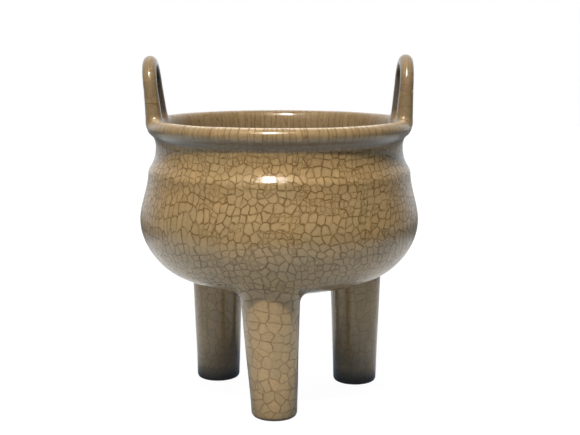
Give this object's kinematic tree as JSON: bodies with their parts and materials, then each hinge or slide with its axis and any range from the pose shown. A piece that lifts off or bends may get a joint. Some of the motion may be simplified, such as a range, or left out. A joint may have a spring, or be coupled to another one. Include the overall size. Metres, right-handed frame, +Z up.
{
  "type": "tripod incense burner",
  "caption": "Crackle-glazed ceramic censer of bronze cauldron form: round open bowl with everted rim, two upright loop handles, tapering solid legs.",
  "frame": {"origin": "on the bowl's turning axis, in the plane that the three feet stand on", "axes": "+Z up along the bowl's axis; -Y towards the front leg; the loop handles stand at -X and +X"},
  "size_m": [0.124, 0.124, 0.1526],
  "materials": {
    "crackled_glaze": "glossy greyish-gold glaze with a net of brown-stained crackle; bare dark clay on the rim under each foot"
  },
  "bodies": {
    "root": {"censer": "crackled_glaze"}
  },
  "joints": []
}
